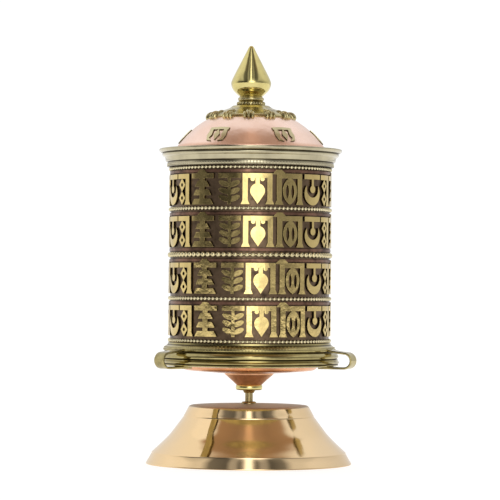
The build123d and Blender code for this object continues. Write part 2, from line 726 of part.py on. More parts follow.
with BuildPart() as finial_washer:
    with BuildSketch(Plane.XY.offset(FINIAL_WASHER_FOOT)):
        Circle(4.4)
        Circle(STUD_RADIUS, mode=Mode.SUBTRACT)
    extrude(amount=4)
    with Locations((0, 0, DOME_CENTRE)):
        Sphere(DOME_INSIDE, mode=Mode.INTERSECT)
finial_washer.part.label = "finial_washer"

with BuildPart() as finial_nut:
    with BuildSketch(Plane.XY.offset(FINIAL_WASHER_FOOT - NUT_HEIGHT)):
        RegularPolygon(NUT_ACROSS / 2, 6, major_radius=False)
        Circle(STUD_RADIUS, mode=Mode.SUBTRACT)
    extrude(amount=NUT_HEIGHT)
finial_nut.part.label = "finial_nut"

# ---- one STEP file for each piece ----------------------------------------------------
pieces = [
    stand_shell.part,
    spindle.part,
    spindle_ring.part,
    spindle_washer.part,
    spindle_nut.part,
    lower_bush.part,
    bearing_cone.part,
    bottom_plate.part,
    bottom_flange.part,
    drum_shell.part,
    top_flange.part,
    *motif_rows,
    *copper_strips,
    grained_strip.part,
    *bead_wires,
    core_tube.part,
    pivot_cup.part,
    prayer_scroll.part,
    scroll_band.part,
    *finger_loops,
    lid_skirt.part,
    dome.part,
    dome_ornaments.part,
    crown_collar.part,
    lower_neck_ring.part,
    upper_neck_ring.part,
    finial.part,
    finial_washer.part,
    finial_nut.part,
]
os.makedirs("parts", exist_ok=True)
for piece in pieces:
    export_step(piece, f"parts/{piece.label}.step")
    box = piece.bounding_box()
    print(piece.label, len(piece.solids()), "solids", round(piece.volume, 1), "mm3", box.min, box.max)
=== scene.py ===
# %% [markdown]
# # A table prayer wheel in brass and copper
# The real thing is sheet-metal work: a spun brass stand, a copper drum with rows of soldered
# relief, beaded wires, stamped flanges and a polished copper lid. The measured solids come
# first as a fixed frame, and every cell below dresses one group of pieces.

# %% Load the frame
import math
import bmesh
import bpy
from mathutils import Matrix, Vector


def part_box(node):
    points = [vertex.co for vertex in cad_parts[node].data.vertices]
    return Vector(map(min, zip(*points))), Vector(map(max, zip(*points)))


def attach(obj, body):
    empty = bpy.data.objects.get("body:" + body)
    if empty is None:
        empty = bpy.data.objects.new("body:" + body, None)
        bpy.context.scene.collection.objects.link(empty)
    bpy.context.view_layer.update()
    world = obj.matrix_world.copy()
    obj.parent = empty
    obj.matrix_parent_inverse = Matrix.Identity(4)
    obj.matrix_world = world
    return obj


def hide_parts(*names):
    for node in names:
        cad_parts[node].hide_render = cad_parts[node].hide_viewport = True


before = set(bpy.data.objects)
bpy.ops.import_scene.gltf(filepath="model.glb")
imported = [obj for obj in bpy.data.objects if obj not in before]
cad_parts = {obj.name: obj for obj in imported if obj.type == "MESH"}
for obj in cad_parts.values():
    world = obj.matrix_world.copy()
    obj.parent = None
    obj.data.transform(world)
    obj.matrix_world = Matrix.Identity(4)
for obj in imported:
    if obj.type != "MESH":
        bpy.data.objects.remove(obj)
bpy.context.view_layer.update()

MM = 0.001

# %% [markdown]
# ## Sizes taken from the solids
# A piece goes where its solid says. These few sizes are read from the solids' boxes, so the
# pieces below follow the part when a size of it changes.

# %% Sizes in millimetres


def low(node):
    """The lowest corner of a solid's box, in millimetres."""
    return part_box(node)[0] / MM


def high(node):
    """The highest corner of a solid's box, in millimetres."""
    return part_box(node)[1] / MM


FOOT = high("stand_shell").x
STAND_TOP = high("stand_shell").z
ROD = high("spindle").x
DRUM = high("drum_shell").x
DRUM_FLOOR = low("drum_shell").z
LEDGE = high("top_flange").z
SHEET = 0.9
DOME_FOOT = low("dome").z
# The dome is part of a sphere of this radius, whose middle lies this far under its foot.
DOME_SIZE = 37.5
DOME_CENTRE = DOME_FOOT - 21.1
print("drum radius", round(DRUM, 2), "ledge height", round(LEDGE, 2))

# %% [markdown]
# ## Camera
# A long lens about 1.1 m away and a little under half the object's height keeps the drum's
# ellipses shallow. A short lens close by would show more of the lid, but it would taper the
# drum. The camera is turned about the spindle so that two of the three finger loops show.

# %% Camera
VIEW_ANGLE = math.radians(22.5)
DISTANCE = 1.134
EYE_HEIGHT = 0.0754
PITCH = math.radians(0.72)
ROLL = math.radians(0.4)

lens = bpy.data.cameras.new("camera")
lens.lens = 194.4
lens.sensor_width = 36.0
lens.clip_start = 0.05
camera = bpy.data.objects.new("camera", lens)
bpy.context.scene.collection.objects.link(camera)
place = Vector((math.sin(VIEW_ANGLE) * DISTANCE, -math.cos(VIEW_ANGLE) * DISTANCE, EYE_HEIGHT))
turn_to_view = Matrix.Rotation(VIEW_ANGLE, 4, "Z") @ Matrix.Rotation(math.pi / 2 + PITCH, 4, "X")
camera.matrix_world = Matrix.Translation(place) @ turn_to_view @ Matrix.Rotation(ROLL, 4, "Z")
bpy.context.scene.camera = camera
bpy.context.scene.view_settings.view_transform = "Standard"
print("camera at", [round(v, 3) for v in place])

# %% [markdown]
# ## Nodes and colours
# Two helpers serve all the materials. One adds a shader node with its settings and links,
# the other turns a colour as a designer writes it into the linear numbers Blender mixes.

# %% Node and colour helpers


def linear(hex_colour):
    """Turn an sRGB colour such as "#c8b478" into linear red, green, blue and alpha."""
    parts = [int(hex_colour[i:i + 2], 16) / 255 for i in (1, 3, 5)]
    straight = [c / 12.92 if c <= 0.04045 else ((c + 0.055) / 1.055) ** 2.4 for c in parts]
    return (*straight, 1.0)


def add(tree, kind, settings=None, links=None):
    """Add a node, set its properties or inputs, and link its inputs to other outputs."""
    node = tree.nodes.new(kind)
    for key, value in (settings or {}).items():
        if isinstance(key, str) and hasattr(node, key):
            setattr(node, key, value)
        else:
            node.inputs[key].default_value = value
    for key, output in (links or {}).items():
        tree.links.new(output, node.inputs[key])
    return node


# %% [markdown]
# ## Light
# Polished metal is mostly a picture of what stands round it. Here that is a white tent with
# the camera's side left open: dark to the left of the camera, half lit to the right, and a
# tall lamp close to the lens. Overhead the opening goes on, with the lamp's strip across it.
# Each ramp gives the tent's brightness across one of these, and the world mixes the two.

# %% World light
BRIGHTEST = 2.8
# Degrees right of the camera, brightness and warmth, for light that comes in level.
ROUND_THE_TENT = [
    (-180, 0.8, 0), (-112, 1.0, 0), (-94, 0.8, 0), (-78, 0.14, 0), (-48, 0.04, 0), (-25, 0.08, 0),
    (-16, 0.5, 0), (-9, 1.8, 0), (0, 2.8, 0), (13, 2.6, 0), (22, 1.1, 0), (31, 0.36, 0),
    (50, 0.24, 0), (72, 0.36, 0), (95, 0.62, 0), (130, 0.75, 0), (180, 0.8, 0),
]
# The same for light from overhead, by how far to the right of the camera it lies.
OVER_THE_TENT = [
    (-1.0, 1.08, 0), (-0.56, 1.05, 0), (-0.5, 0.3, 1), (-0.2, 0.24, 1), (-0.09, 0.3, 1),
    (-0.03, 0.6, 1), (0.03, 0.65, 1), (0.09, 0.34, 1), (0.3, 0.25, 1), (0.55, 0.3, 1),
    (0.61, 0.95, 0), (1.0, 1.15, 0),
]
# And for light from high in front.
HIGH_IN_FRONT = [
    (-1.0, 0.95, 0), (-0.66, 0.9, 0), (-0.56, 0.2, 0), (-0.34, 0.12, 0), (-0.27, 0.45, 0),
    (-0.2, 0.42, 0), (-0.14, 0.12, 0), (-0.08, 0.4, 0), (-0.03, 2.0, 0), (0.03, 2.0, 0),
    (0.08, 0.45, 0), (0.13, 0.12, 0), (0.2, 0.42, 0), (0.27, 0.38, 0), (0.34, 0.1, 0),
    (0.52, 0.2, 0), (0.62, 0.8, 0), (1.0, 0.95, 0),
]
BACK_WALL = 0.98
# How much of each colour channel a fully warm stop keeps, like light off brown cloth.
WARM = (1.3, 0.86, 0.56)
# Where one part of the tent gives way to the next: overhead by height, the others by how far
# forward the light lies. Each fades from its first number to its second.
OVERHEAD_FADE = (0.3, 0.78)
IN_FRONT_FADE = (0.42, 0.5)
BEHIND_FADE = (-0.05, -0.13)
SEAM_BOW = 0.7
SEEN_WHITE = 1.05

world = bpy.data.worlds.new("white_tent")
bpy.context.scene.world = world
world.use_nodes = True
tree = world.node_tree
tree.nodes.clear()


def brightness_ramp(tree, stops, lowest, highest, value):
    """A ramp of light over a value. Each stop has a place, a brightness and a warmth."""
    share = add(tree, "ShaderNodeMapRange", {1: lowest, 2: highest, 3: 0.0, 4: 1.0}, {0: value})
    ramp = add(tree, "ShaderNodeValToRGB", {}, {0: share.outputs[0]})
    while len(ramp.color_ramp.elements) < len(stops):
        ramp.color_ramp.elements.new(0.5)
    for element, (reached, level, warmth) in zip(ramp.color_ramp.elements, stops):
        element.position = (reached - stops[0][0]) / (stops[-1][0] - stops[0][0])
        tint = [1 + warmth * (channel - 1) for channel in WARM]
        element.color = (*[level / BRIGHTEST * channel for channel in tint], 1)
    return ramp.outputs[0]


ray = add(tree, "ShaderNodeTexCoord")
turned = add(tree, "ShaderNodeMapping", {"vector_type": "POINT", "Rotation": (0, 0, -VIEW_ANGLE)},
             {"Vector": ray.outputs["Generated"]})
parts = add(tree, "ShaderNodeSeparateXYZ", {}, {0: turned.outputs[0]})
toward = add(tree, "ShaderNodeMath", {"operation": "MULTIPLY", 1: -1.0}, {0: parts.outputs["Y"]})
side = add(tree, "ShaderNodeMath", {"operation": "ARCTAN2"},
           {0: parts.outputs["X"], 1: toward.outputs[0]})
level_light = brightness_ramp(tree, ROUND_THE_TENT, -math.pi, math.pi, side.outputs[0])
over_light = brightness_ramp(tree, OVER_THE_TENT, -1.0, 1.0, parts.outputs["X"])
front_light = brightness_ramp(tree, HIGH_IN_FRONT, -1.0, 1.0, parts.outputs["X"])
# The seams between the parts of the tent overhead bow forward at the sides.
bow = add(tree, "ShaderNodeMath", {"operation": "MULTIPLY"},
          {0: parts.outputs["X"], 1: parts.outputs["X"]})
forward = add(tree, "ShaderNodeMath", {"operation": "MULTIPLY_ADD", 1: SEAM_BOW},
              {0: bow.outputs[0], 2: toward.outputs[0]})
in_front = add(tree, "ShaderNodeMapRange", {1: IN_FRONT_FADE[0], 2: IN_FRONT_FADE[1]},
               {0: forward.outputs[0]})
behind = add(tree, "ShaderNodeMapRange", {1: BEHIND_FADE[0], 2: BEHIND_FADE[1]},
             {0: forward.outputs[0]})
overhead = add(tree, "ShaderNodeMapRange", {1: OVERHEAD_FADE[0], 2: OVERHEAD_FADE[1]},
               {0: parts.outputs["Z"]})
back = (*[BACK_WALL / BRIGHTEST] * 3, 1)
over = add(tree, "ShaderNodeMix", {"data_type": "RGBA"},
           {0: in_front.outputs[0], 6: over_light, 7: front_light})
high_light = add(tree, "ShaderNodeMix", {"data_type": "RGBA", 7: back},
                 {0: behind.outputs[0], 6: over.outputs[2]})
tent = add(tree, "ShaderNodeMix", {"data_type": "RGBA"},
           {0: overhead.outputs[0], 6: level_light, 7: high_light.outputs[2]})
around = add(tree, "ShaderNodeBackground", {"Strength": BRIGHTEST}, {"Color": tent.outputs[2]})
# The metal reflects the tent, while the surround itself is seen as plain white.
seen = add(tree, "ShaderNodeBackground", {"Color": (1, 1, 1, 1), "Strength": SEEN_WHITE})
path = add(tree, "ShaderNodeLightPath")
either = add(tree, "ShaderNodeMixShader", {},
             {0: path.outputs["Is Camera Ray"], 1: around.outputs[0], 2: seen.outputs[0]})
add(tree, "ShaderNodeOutputWorld", {}, {"Surface": either.outputs[0]})
print("world nodes:", len(tree.nodes))

# %% [markdown]
# ## Floor
# A pale matt table. It glows a little, like the lit sheet of a light table, so that it
# meets the white surround with no line and still takes a soft contact shadow.

# %% Floor
bpy.ops.object.select_all(action="DESELECT")
bpy.ops.mesh.primitive_plane_add(size=6.0)
floor = bpy.context.object
floor.name = "floor"
paper_white = bpy.data.materials.new("matt_white_table")
paper_white.use_nodes = True
tree = paper_white.node_tree
shader = tree.nodes["Principled BSDF"]
shader.inputs["Base Color"].default_value = linear("#b4b4b2")
shader.inputs["Roughness"].default_value = 0.9
shader.inputs["Emission Color"].default_value = (1, 1, 1, 1)
shader.inputs["Emission Strength"].default_value = 0.74
floor.data.materials.append(paper_white)

# %% [markdown]
# ## Making the metals
# Every metal here starts from its clean colour and its tarnish colour. Where tarnish stays is what
# tells a used object from a new one. One function lays down the shader, and each metal hands it a
# mask: specks and patches of tarnish, or painted shade in grooves, between beads and on side walls.

# %% Metal finish


def new_material(name):
    """An empty material and its tree."""
    material = bpy.data.materials.new(name)
    material.use_nodes = True
    material.node_tree.nodes.clear()
    return material, material.node_tree


def finish_metal(tree, clean, tarnish_and_shade, mask, gloss, grain, stain=(14.0, 0.25), spun=False):
    """A metal whose colour and roughness go from clean to the tarnish colour where the mask is high. That
    colour is tarnish, and painted shade where the mask marks hollows.

    The grain is its width and depth in millimetres. Spun metal has its grain drawn out
    level, as the tool leaves it. The stain is the width of its patches and its strength.
    """
    where = add(tree, "ShaderNodeTexCoord")
    clouds = add(tree, "ShaderNodeTexNoise",
                 {"Scale": 1 / (stain[0] * MM), "Detail": 6.0, "Roughness": 0.6},
                 {"Vector": where.outputs["Object"]})
    patch = add(tree, "ShaderNodeMapRange", {1: 0.4, 2: 0.75, 3: 0.0, 4: stain[1]},
                {0: clouds.outputs[0]})
    # Stain patches plus the mask: tarnish, and painted shade where the mask marks grooves, gaps or walls.
    dirt_and_shade = add(tree, "ShaderNodeMath", {"operation": "ADD", "use_clamp": True},
               {0: patch.outputs[0], 1: mask})
    colour = add(tree, "ShaderNodeMix", {"data_type": "RGBA", 6: linear(clean), 7: linear(tarnish_and_shade)},
                 {0: dirt_and_shade.outputs[0]})
    rough = add(tree, "ShaderNodeMapRange", {1: 0.0, 2: 1.0, 3: gloss[0], 4: gloss[1]},
                {0: dirt_and_shade.outputs[0]})
    along = (0.05, 0.05, 1) if spun else (1, 1, 1)
    drawn = add(tree, "ShaderNodeMapping", {"Scale": along}, {"Vector": where.outputs["Object"]})
    marks = add(tree, "ShaderNodeTexNoise", {"Scale": 1 / (grain[0] * MM), "Detail": 3.0},
                {"Vector": drawn.outputs[0]})
    bump = add(tree, "ShaderNodeBump", {"Strength": 1.0, "Distance": grain[1] * MM},
               {"Height": marks.outputs[0]})
    shader = add(tree, "ShaderNodeBsdfPrincipled", {"Metallic": 1.0},
                 {"Base Color": colour.outputs[2], "Roughness": rough.outputs[0],
                  "Normal": bump.outputs[0]})
    add(tree, "ShaderNodeOutputMaterial", {}, {"Surface": shader.outputs[0]})


def speckle_mask(tree):
    """A mask of small scattered specks, for metal with no marked hollows."""
    where = add(tree, "ShaderNodeTexCoord")
    fine = add(tree, "ShaderNodeTexNoise", {"Scale": 1 / (3 * MM), "Detail": 2.0},
               {"Vector": where.outputs["Object"]})
    return add(tree, "ShaderNodeMapRange", {1: 0.55, 2: 0.9, 3: 0.0, 4: 0.3},
               {0: fine.outputs[0]}).outputs[0]


def reach_mask(tree, dark_mm, clean_mm, scale=(1, 1, 0), centre_mm=0.0):
    """A mask that is full at one distance from the spindle and gone at another.

    With a scale of (1, 1, 1) the distance is from a point on the spindle, centre_mm up.
    """
    where = add(tree, "ShaderNodeTexCoord")
    shifted = add(tree, "ShaderNodeMapping", {"Scale": scale, "Location": (0, 0, -centre_mm * MM)},
                  {"Vector": where.outputs["Object"]})
    reach = add(tree, "ShaderNodeVectorMath", {"operation": "LENGTH"}, {0: shifted.outputs[0]})
    return add(tree, "ShaderNodeMapRange", {1: dark_mm * MM, 2: clean_mm * MM, 3: 1.0, 4: 0.0},
               {0: reach.outputs["Value"]}).outputs[0]


def groove_mask(tree, heights_mm, half_mm):
    """A mask that is full at each of these heights and fades half_mm above and below."""
    where = add(tree, "ShaderNodeTexCoord")
    parts = add(tree, "ShaderNodeSeparateXYZ", {}, {0: where.outputs["Object"]})
    total = None
    for level in heights_mm:
        off = add(tree, "ShaderNodeMath", {"operation": "SUBTRACT", 1: level * MM},
                  {0: parts.outputs["Z"]})
        away = add(tree, "ShaderNodeMath", {"operation": "ABSOLUTE"}, {0: off.outputs[0]})
        near = add(tree, "ShaderNodeMapRange", {1: 0.0, 2: half_mm * MM, 3: 1.0, 4: 0.0},
                   {0: away.outputs[0]})
        if total is None:
            total = near.outputs[0]
        else:
            total = add(tree, "ShaderNodeMath", {"operation": "MAXIMUM"},
                        {0: total, 1: near.outputs[0]}).outputs[0]
    return total


def height_mask(tree, clean_mm, dull_mm):
    """A mask that is gone below one height and full above another."""
    where = add(tree, "ShaderNodeTexCoord")
    parts = add(tree, "ShaderNodeSeparateXYZ", {}, {0: where.outputs["Object"]})
    return add(tree, "ShaderNodeMapRange", {1: clean_mm * MM, 2: dull_mm * MM, 3: 0.0, 4: 1.0},
               {0: parts.outputs["Z"]}).outputs[0]


# %% [markdown]
# ## The shop's metals
# Yellow brass for the stand and the bud, spun or turned and then buffed; cast and stamped
# brass, browned, with painted shade in its grooves and round the relief and the beads; copper buffed
# pink on the lid, dull under the wheel and nearly black on the drum, where it was darkened to set off the
# relief.

# %% Metals
# Heights of the flanges' grooves, where painted shade is laid.
LOW_GROOVES = [DRUM_FLOOR + 0.1, DRUM_FLOOR + 2.2, DRUM_FLOOR + 5.1, DRUM_FLOOR + 7.9]
HIGH_GROOVES = [LEDGE - 1.85, LEDGE - 5.75, LEDGE - 7.7]
# Spun and buffed: a mirror with faint level lines, dusty on its flat top.
buffed_brass, tree = new_material("spun_brass_buffed")
finish_metal(tree, "#f2d2a2", "#cfc4b4", height_mask(tree, STAND_TOP - 1.5, STAND_TOP - 0.9), (0.06, 0.6),
             (0.5, 0.0006), stain=(30.0, 0.2), spun=True)
# Turned and buffed: a greener brass, nearly a mirror.
turned_brass, tree = new_material("turned_brass_buffed")
finish_metal(tree, "#ded08c", "#8d7a45", speckle_mask(tree), (0.07, 0.25), (4.0, 0.03), stain=(8.0, 0.3))
# Drawn rod and small fittings: handled, half dull.
rod_brass, tree = new_material("drawn_brass_rod")
finish_metal(tree, "#a8966a", "#5b4f32", speckle_mask(tree), (0.25, 0.5), (1.2, 0.01))
# Stamped sheet: bright on the mouldings, with painted shade in brown at the grooves, greyer at the top.
high_brass, tree = new_material("stamped_brass_grey")
finish_metal(tree, "#c3ba9c", "#3a3122", groove_mask(tree, HIGH_GROOVES, 0.45), (0.07, 0.45), (5.0, 0.06),
             stain=(12.0, 0.35))
# The lower flange gets the same painted shade at its grooves.
low_brass, tree = new_material("stamped_brass_olive")
finish_metal(tree, "#b8aa74", "#40361f", groove_mask(tree, LOW_GROOVES, 0.38), (0.09, 0.4), (5.0, 0.08),
             stain=(12.0, 0.6))
# Bent strap: like the flange, rubbed by fingers.
loop_brass, tree = new_material("brass_strap_aged")
finish_metal(tree, "#b8aa76", "#453a22", speckle_mask(tree), (0.1, 0.4), (4.0, 0.06), stain=(7.0, 0.7))
# Cut plate: satin on its faces, with near black painted shade on its side walls and in the corners at the
# ground.
relief_brass, tree = new_material("cut_brass_relief")
finish_metal(tree, "#e4cb88", "#241b11", reach_mask(tree, DRUM + 0.5, DRUM + 0.72), (0.07, 0.6),
             (5.0, 0.1), stain=(10.0, 0.3))
# Beaded wire: a shiny top on each bead, with painted shade between the beads and on the core below them.
bead_brass, tree = new_material("beaded_brass_wire")
finish_metal(tree, "#e6dab2", "#2a2217", reach_mask(tree, DRUM + 0.3, DRUM + 0.6), (0.15, 0.6),
             (0.8, 0.005))
# The thick wire has the same painted shade between its beads.
thick_bead_brass, tree = new_material("thick_beaded_brass_wire")
finish_metal(tree, "#dccfa4", "#2a2217", reach_mask(tree, DRUM + 0.3, DRUM + 0.65), (0.15, 0.6),
             (0.8, 0.005))
# Cast brass: softer edges and a brown skin.
collar_brass, tree = new_material("cast_brass_aged")
finish_metal(tree, "#cdbf8c", "#453920", speckle_mask(tree), (0.14, 0.45), (1.4, 0.045), stain=(3.5, 0.8))
# Ornaments on the dome: pale faces, with painted shade on their edges down to the dome.
ornament_brass, tree = new_material("cut_brass_on_dome")
finish_metal(tree, "#ddd2a8", "#3a2e1c",
             reach_mask(tree, DOME_SIZE + 0.12, DOME_SIZE + 0.42, (1, 1, 1), DOME_CENTRE),
             (0.25, 0.6), (1.0, 0.01))
# Spun copper: buffed pink, with the soft waves that planishing leaves, and painted shade in a band round
# its foot.
dome_copper, tree = new_material("spun_copper_buffed")
finish_metal(tree, "#ffe0d0", "#efc4aa", groove_mask(tree, [DOME_FOOT], 1.2), (0.27, 0.4), (9.0, 0.3),
             stain=(16.0, 0.5))
# Copper under the wheel: browned by hands and oil, and rubbed dull at the cone.
plate_copper, tree = new_material("copper_plate_brown")
finish_metal(tree, "#e6ab80", "#94603f", speckle_mask(tree), (0.25, 0.5), (3.0, 0.03), stain=(9.0, 0.6))
cone_copper, tree = new_material("copper_cone_dull")
finish_metal(tree, "#f8c498", "#b98058", speckle_mask(tree), (0.42, 0.6), (2.0, 0.02), stain=(4.0, 0.7))
# Copper strip: clean on its face, darker on its eased edges towards the drum.
strip_copper, tree = new_material("copper_strip_aged")
finish_metal(tree, "#8d6a58", "#2a2019", reach_mask(tree, DRUM + 0.3, DRUM + 0.52), (0.22, 0.55),
             (4.0, 0.05), stain=(6.0, 0.9))
# Dipped copper: the near black ground of the drum.
ground_copper, tree = new_material("darkened_copper")
finish_metal(tree, "#6f5c49", "#2b231b", speckle_mask(tree), (0.3, 0.6), (0.8, 0.04), stain=(6.0, 0.7))
print("metals:", len([m for m in bpy.data.materials if "copper" in m.name or "brass" in m.name]))

# %% [markdown]
# ## A lathe
# Most pieces are turned or spun, so one helper stands in for the lathe. It starts from a
# circle and raises ring after ring, by extruding and scaling in edit mode, along an outline
# of radius and height. Closed seams and poles are merged and the faces turned outwards.

# %% Lathe


def enter(piece):
    """Make a piece the only selected one and open it in edit mode with all selected."""
    bpy.ops.object.select_all(action="DESELECT")
    piece.select_set(True)
    bpy.context.view_layer.objects.active = piece
    bpy.ops.object.mode_set(mode="EDIT")
    bpy.ops.mesh.select_all(action="SELECT")


def leave(piece, crease=35):
    """Merge doubles, turn faces outwards, leave edit mode and shade smooth up to a crease."""
    bpy.ops.mesh.select_all(action="SELECT")
    bpy.ops.mesh.remove_doubles(threshold=0.000002)
    bpy.ops.mesh.normals_make_consistent(inside=False)
    bpy.ops.object.mode_set(mode="OBJECT")
    bpy.ops.object.shade_smooth_by_angle(angle=math.radians(crease))


def turn(name, outline, sides=144, crease=35):
    """Turn an outline of (radius, height) in millimetres round the spindle."""
    radius, level = outline[0]
    radius = max(radius, 0.0005)
    bpy.ops.object.select_all(action="DESELECT")
    bpy.ops.mesh.primitive_circle_add(vertices=sides, radius=radius * MM, location=(0, 0, level * MM))
    piece = bpy.context.object
    piece.name = name
    bpy.ops.object.transform_apply(location=True, rotation=True, scale=True)
    enter(piece)
    for new_radius, new_level in outline[1:]:
        new_radius = max(new_radius, 0.0005)
        step = (0, 0, (new_level - level) * MM)
        bpy.ops.mesh.extrude_region_move(TRANSFORM_OT_translate={"value": step})
        grow = new_radius / radius
        bpy.ops.transform.resize(value=(grow, grow, 1), center_override=(0, 0, new_level * MM))
        radius, level = new_radius, new_level
    leave(piece, crease)
    return piece


def curve_through(points, steps=5):
    """More points on a smooth line through these, as a bent spline lath would give."""
    fine = []
    ends = [points[0]] + list(points) + [points[-1]]
    for before, start, stop, after in zip(ends, ends[1:], ends[2:], ends[3:]):
        for i in range(steps):
            t = i / steps
            fine.append(tuple(
                0.5 * (2 * b + (c - a) * t + (2 * a - 5 * b + 4 * c - d) * t * t
                       + (3 * b - a - 3 * c + d) * t ** 3)
                for a, b, c, d in zip(before, start, stop, after)
            ))
    fine.append(tuple(points[-1]))
    return fine


def round_bar(middle, level, radius, start, stop, steps):
    """Points on part of a circle, for a half-round moulding, angles in degrees."""
    points = []
    for i in range(steps + 1):
        a = math.radians(start + (stop - start) * i / steps)
        points.append((middle + radius * math.cos(a), level + radius * math.sin(a)))
    return points


def wear(piece, material, body, slot, *nodes):
    """Give a finished piece its material and its body, and hide the solids it replaces. The slot is not
    used.
    """
    piece.data.materials.clear()
    piece.data.materials.append(material)
    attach(piece, body)
    if nodes:
        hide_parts(*nodes)
    print(piece.name, "faces:", len(piece.data.polygons))


def dress(node, material):
    """Give a solid that keeps its own shape a better material."""
    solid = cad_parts[node]
    solid.data.materials.clear()
    solid.data.materials.append(material)


# %% [markdown]
# ## Stand
# The foot is one disc of brass spun over a former: a thin lip, a straight band, a hollow
# side, a band at the shoulder and a nearly flat top. The spinner leaves a soft radius at
# every crease, so each crease gets two close rings rather than a sharp line.

# %% Stand shell
side_curve = curve_through([
    (FOOT - 2.85, 5.3), (FOOT - 6.0, STAND_TOP - 17.0), (FOOT - 9.9, STAND_TOP - 13.1),
    (FOOT - 13.0, STAND_TOP - 9.1), (FOOT - 15.75, STAND_TOP - 5.45),
], 6)
outside = [
    (FOOT - 0.5, 0.0), (FOOT - 0.14, 0.03), (FOOT - 0.03, 0.22), (FOOT - 0.1, 0.5),
    (FOOT - 0.35, 0.95), (FOOT - 1.4, 2.75),
    (FOOT - 2.3, 4.4), (FOOT - 2.38, 4.62), (FOOT - 2.4, 4.8), (FOOT - 2.52, 5.0), *side_curve,
    (FOOT - 15.82, STAND_TOP - 5.25), (FOOT - 15.84, STAND_TOP - 5.05),
    (FOOT - 15.98, STAND_TOP - 4.85), (FOOT - 16.7, STAND_TOP - 3.5),
    (FOOT - 17.6, STAND_TOP - 1.85), (FOOT - 17.95, STAND_TOP - 1.3),
    (FOOT - 18.35, STAND_TOP - 0.95), (FOOT - 18.95, STAND_TOP - 0.72),
    (FOOT - 19.9, STAND_TOP - 0.64), (FOOT - 26.0, STAND_TOP - 0.5), (FOOT - 34.0, STAND_TOP - 0.15),
    (4.5, STAND_TOP), (ROD, STAND_TOP),
]
inside = [
    (ROD, STAND_TOP - SHEET), (5.0, STAND_TOP - SHEET), (FOOT - 20.3, STAND_TOP - 1.75),
    (FOOT - 19.5, STAND_TOP - 2.3), (FOOT - 16.8, STAND_TOP - 5.6), (FOOT - 13.9, STAND_TOP - 9.6),
    (FOOT - 10.8, STAND_TOP - 13.6), (FOOT - 6.9, STAND_TOP - 17.5), (FOOT - 3.6, 4.9),
    (FOOT - 0.95, 0.4), (FOOT - 0.8, 0.04), (FOOT - 0.5, 0.0),
]
stand = turn("stand_foot", outside + inside, sides=180, crease=14)
wear(stand, buffed_brass, "stand", "stand_brass", "stand_shell")

# %% [markdown]
# ## Rod and fittings of the stand
# The rod is plain drawn brass, tapered where it enters the bush. The ring where it leaves
# the stand is a bead of solder turned clean.

# %% Rod and ring
rod_top = high("spindle").z
rod_foot = low("spindle").z
rod = turn("spindle_rod", [
    (0, rod_foot), (ROD - 0.35, rod_foot), (ROD, rod_foot + 0.35), (ROD, STAND_TOP + 0.5),
    (ROD - 0.02, STAND_TOP + 6), (ROD, rod_top - 2.2), (0.6, rod_top - 0.25), (0.4, rod_top),
    (0, rod_top),
], sides=48)
wear(rod, rod_brass, "stand", "spindle_brass", "spindle")
ring = turn("rod_ring", [
    (ROD, STAND_TOP), (ROD + 1.5, STAND_TOP), *round_bar(ROD + 0.75, STAND_TOP + 0.15, 0.75, 0, 140, 7),
    (ROD, STAND_TOP + 0.9), (ROD, STAND_TOP),
], sides=48)
wear(ring, rod_brass, "stand", "spindle_brass", "spindle_ring")

# %% [markdown]
# ## Hidden fittings
# Washers, nuts, tube and pivot cup are already true as solids. They only need metal.

# %% Fittings
for node in ("spindle_washer", "spindle_nut", "finial_washer", "finial_nut", "pivot_cup"):
    dress(node, rod_brass)
dress("core_tube", plate_copper)

# %% [markdown]
# ## Bush, cone and bottom plate
# Under the wheel three turned pieces step out from the rod: a brass bush with a soft edge,
# a small copper cone and a shallow copper dish. Three cylinders would pass at a distance, but
# they are seen from below in the stand's polish, so each outline goes right round the piece.

# %% Under the wheel
RUNNING_FIT = 0.08
bore = ROD + RUNNING_FIT
cone_low = low("bearing_cone").z
bush_low = cone_low - 2.2
nose = low("lower_bush").z
bush = turn("brass_bush", [
    (bore, nose), (bore + 0.35, nose), (bore + 0.5, nose + 0.35), (bore + 0.75, nose + 0.85),
    (bore + 1.2, bush_low), (4.9, bush_low), (5.35, bush_low + 0.15), (5.6, bush_low + 0.5),
    (5.6, bush_low + 1.0), (5.6, bush_low + 1.7), (5.45, bush_low + 2.1), (5.2, bush_low + 2.2),
    (4.1, bush_low + 2.2), (4.1, bush_low + 3.8), (bore, bush_low + 3.8), (bore, nose),
], sides=72)
wear(bush, turned_brass, "wheel", "bush_brass", "lower_bush")

cone = turn("copper_cone", [
    (4.1, cone_low), (5.25, cone_low), (5.5, cone_low + 0.2), *curve_through([
        (6.6, cone_low + 1.25), (8.4, cone_low + 2.85), (10.1, cone_low + 4.3)], 3),
    (10.3, cone_low + 4.6), (10.3, cone_low + 4.9), (9.2, cone_low + 4.9), (4.1, cone_low + 0.5),
    (4.1, cone_low),
], sides=96)
wear(cone, cone_copper, "wheel", "plate_copper", "bearing_cone")

plate_low = low("bottom_plate").z
dish_edge = DRUM - 6.8
plate = turn("copper_dish", [
    (2.3, plate_low), (8.0, plate_low), (11.0, plate_low), *curve_through([
        (14.0, plate_low + 0.2), (20.0, plate_low + 0.68), (dish_edge - 1.5, plate_low + 1.1)], 3),
    (dish_edge, plate_low + 1.25), (DRUM - 5.9, plate_low + 1.55), (DRUM - 5.25, plate_low + 2.05),
    (DRUM - 4.85, plate_low + 2.6), (DRUM - 4.65, plate_low + 3.1), (DRUM - 3.3, plate_low + 4.1),
    (DRUM - 0.8, plate_low + 4.1), (DRUM - 0.8, plate_low + 5.0), (DRUM - 3.6, plate_low + 5.0),
    (DRUM - 5.4, plate_low + 3.5), (DRUM - 6.1, plate_low + 2.75),
    (dish_edge - 0.6, plate_low + 2.05), (11.0, plate_low + 0.9), (2.3, plate_low + 0.9),
    (2.3, plate_low),
], sides=144)
